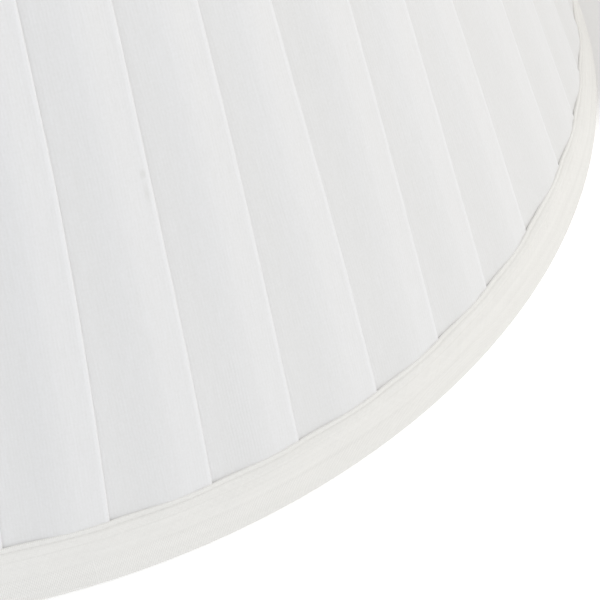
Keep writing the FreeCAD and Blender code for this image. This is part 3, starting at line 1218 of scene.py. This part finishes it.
# ---- the lining --------------------------------------------------------------------------------
@dataclass(frozen=True)
class Lining:
    """Plain cloth stretched over the outside of the wires, under the pleats."""

    cone: Cone
    middle: float = 1.7 * MM
    thickness: float = 0.3 * MM
    pull: float = 0.8 * MM
    struts: int = 8
    strut_angle: float = math.radians(22.5)
    seam_angle: float = math.pi
    seam_width: float = 7.0 * MM

    def build(self) -> bpy.types.Object:
        """Makes the cloth: a cone that is drawn in between the struts, most at mid height.

        The distance out is the middle of the cloth, less the pull times the square of the sine
        of half the strut count times the angle from a strut, times the sine up the slope.

        Returns:
            The lining.
        """
        angle = np.linspace(0, TURN, 385)[None, :]
        along = self.cone.rows(49)
        points = self.cone.place(angle, along, self.surface(angle, along))
        cloth = np.stack(np.broadcast_arrays(angle * self.cone.bottom_radius, along), -1)
        piece = grid_piece("lining_cloth", points[:, :-1], {"Cloth": cloth}, (False, True))
        thicken(piece, self.thickness)
        return piece

    def surface(self, angle: np.ndarray, along: np.ndarray) -> np.ndarray:
        """How far out the middle of the cloth is.

        Args:
            angle: Where round the shade.
            along: How far up the slope.

        Returns:
            The distances out from the cone.
        """
        up = np.clip(along / self.cone.slant, 0, 1)
        between = np.sin(self.struts / 2 * (angle - self.strut_angle)) ** 2
        creases = 0.12 * MM * np.sin(61 * angle + 3 * up) * np.sin(math.pi * up) * between
        return self.middle - self.pull * between * np.sin(math.pi * up) + creases

    def build_seam(self) -> bpy.types.Object:
        """Makes the lapped seam: a strip up the inside, whose map is offset to carry stitches.

        The strip lies one thickness inside the lining and dips by a fifth of that at its edges.

        Returns:
            The seam.
        """
        across = np.linspace(0, self.seam_width, 13)[None, :]
        along = np.linspace(2.5 * MM, self.cone.slant - 2.5 * MM, 97)[:, None]
        angle = self.seam_angle + (across - self.seam_width / 2) / self.cone.radius(along)
        edge = np.abs(across / self.seam_width - 0.5) * 2
        ripple = 0.04 * MM * np.sin(along / (2.1 * MM)) * edge
        out = self.surface(angle, along) - self.thickness * (1 - 0.2 * edge**4) - ripple
        cloth = np.stack(np.broadcast_arrays(across - 20 * MM, along), -1)
        points = self.cone.place(angle, along, out)
        piece = grid_piece("lining_seam", points, {"Cloth": cloth}, (False, False))
        thicken(piece, self.thickness * 0.8)
        return piece

    def dress(self, piece: bpy.types.Object, seam: bpy.types.Object) -> None:
        """Gives the lining its cloth and hides the frame's own lining node.

        Args:
            piece: The lining.
            seam: Its lapped seam.
        """
        wear([piece, seam], PlainCotton().material(), "lining_cloth")
        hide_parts("lining")


# ---- metal and plastic -------------------------------------------------------------------------
@dataclass(frozen=True)
class Hardware:
    """The wires, the gimbal and the reducer: CAD nodes that keep their shape."""

    finishes: dict[str, tuple[str, ...]] = field(default_factory=lambda: {
        "frame_coating": ("top_ring", "bottom_ring", *[f"strut_{n}" for n in range(1, 9)],
                          "pivot_lug_left", "pivot_lug_right"),
        "gimbal_coating": ("holder_ring", "gimbal_arm_left", "gimbal_arm_right"),
        "rivet_steel": ("pivot_rivet_left", "pivot_rivet_right"),
        "washer_nylon": ("pivot_washer_left", "pivot_washer_right"),
        "reducer_plastic": ("reducer_ring",),
    })

    @staticmethod
    def materials() -> dict[str, bpy.types.Material]:
        """One material for each of the record's hardware slots.

        Returns:
            Materials by slot.
        """
        return {
            "frame_coating": CoatedSteel("frame_coating").material(),
            "gimbal_coating": CoatedSteel("gimbal_coating", coat=(0.79, 0.79, 0.77)).material(),
            "rivet_steel": ZincPlate().material(),
            "washer_nylon": MouldedPlastic("washer_nylon", roughness=0.5).material(),
            "reducer_plastic": MouldedPlastic("reducer_plastic").material(),
        }

    def dress(self) -> None:
        """Assigns each node's finish to its material slots."""
        made = self.materials()
        for slot, nodes in self.finishes.items():
            for node in nodes:
                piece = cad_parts[node]
                if not piece.material_slots:
                    piece.data.materials.append(made[slot])
                for holder in piece.material_slots:
                    holder.material = made[slot]
            log.info("%s: %s", slot, ", ".join(nodes))


# ---- the studio --------------------------------------------------------------------------------
@dataclass(frozen=True)
class Viewpoint:
    """Where the camera stands and how it is turned, in degrees and metres."""

    distance: float = 342.7 * MM
    elevation: float = 36.17
    heading: float = 16.88
    pitch: float = -47.73
    roll: float = -2.64
    focal: float = 80.81
    sensor: float = 36.0

    def build(self) -> None:
        """Makes the camera: forward from heading and pitch, then turned about it by the roll."""
        elevation, heading, pitch, roll = (
            math.radians(x) for x in (self.elevation, self.heading, self.pitch, self.roll)
        )
        forward = np.array([
            math.sin(heading) * math.cos(pitch), math.cos(heading) * math.cos(pitch), math.sin(pitch)
        ])
        level = np.array([math.cos(heading), -math.sin(heading), 0.0])
        upright = np.cross(level, forward)
        right = math.cos(roll) * level + math.sin(roll) * upright
        up = math.cos(roll) * upright - math.sin(roll) * level
        place = self.distance * np.array([0, -math.cos(elevation), math.sin(elevation)])
        data = bpy.data.cameras.new("camera")
        data.sensor_width = self.sensor
        data.lens = self.focal
        data.clip_start = 5 * MM
        camera = bpy.data.objects.new("camera", data)
        stand(camera, right, up, -forward, place)
        bpy.context.scene.camera = camera


@dataclass(frozen=True)
class AreaLight:
    """A square soft light that points at the shade."""

    name: str
    place: tuple[float, float, float]
    size: float
    power: float
    colour: tuple[float, float, float]

    def build(self) -> None:
        """Makes the light and turns it towards the shade's middle."""
        data = bpy.data.lights.new(self.name, "AREA")
        data.size = self.size
        data.energy = self.power
        data.color = self.colour
        away = np.array(self.place) - [0, 0, 90 * MM]
        away = away / np.linalg.norm(away)
        side = np.cross([0, 0, 1], away)
        side = side / np.linalg.norm(side)
        light = bpy.data.objects.new(self.name, data)
        stand(light, side, np.cross(away, side), away, np.array(self.place))


@dataclass(frozen=True)
class Studio:
    """A pale floor, soft light and the camera."""

    floor_size: float = 6.0
    sky: tuple[float, float, float] = (0.98, 0.985, 1.0)
    sky_strength: float = 0.595

    def build(self) -> None:
        """Makes the floor, the sky, the lights and the camera."""
        half = self.floor_size / 2
        x, y = np.meshgrid([-half, half], [-half, half], indexing="ij")
        floor = grid_piece("floor", np.stack([x, y, np.zeros((2, 2))], -1), {}, (False, False))
        floor.data.materials.append(StudioFloor().material())
        world = bpy.data.worlds.new("studio_sky")
        world.use_nodes = True
        background = world.node_tree.nodes["Background"]
        background.inputs["Color"].default_value = (*self.sky, 1.0)
        background.inputs["Strength"].default_value = self.sky_strength
        bpy.context.scene.world = world
        AreaLight("key", (1.5, -0.55, 1.35), 0.8, 14.3, (1.0, 0.970, 0.925)).build()
        AreaLight("fill", (-1.3, -0.8, 1.1), 1.4, 7.9, (0.85, 0.9, 1.0)).build()
        bpy.context.scene.view_settings.view_transform = "Standard"
        Viewpoint().build()


def main() -> None:
    """Builds and dresses every part of the shade, and then the studio."""
    logging.basicConfig(level=logging.INFO, format="%(name)s: %(message)s")
    cone = Cone.of_frame()
    log.info("cone: radii %.1f and %.1f mm", cone.bottom_radius / MM, cone.top_radius / MM)
    lining = Lining(cone)
    lining.dress(lining.build(), lining.build_seam())
    log.info("lining and its seam")
    cover = PleatedCover(cone)
    cover.dress(cover.build())
    log.info("pleated cover")
    tape = BiasTape().material()
    for rim in Rim:
        trim = TapeTrim(cone, rim, cover)
        trim.dress(trim.build(), tape)
        log.info("%s trim", rim.value)
    Hardware().dress()
    Studio().build()


if __name__ == "__main__":
    main()
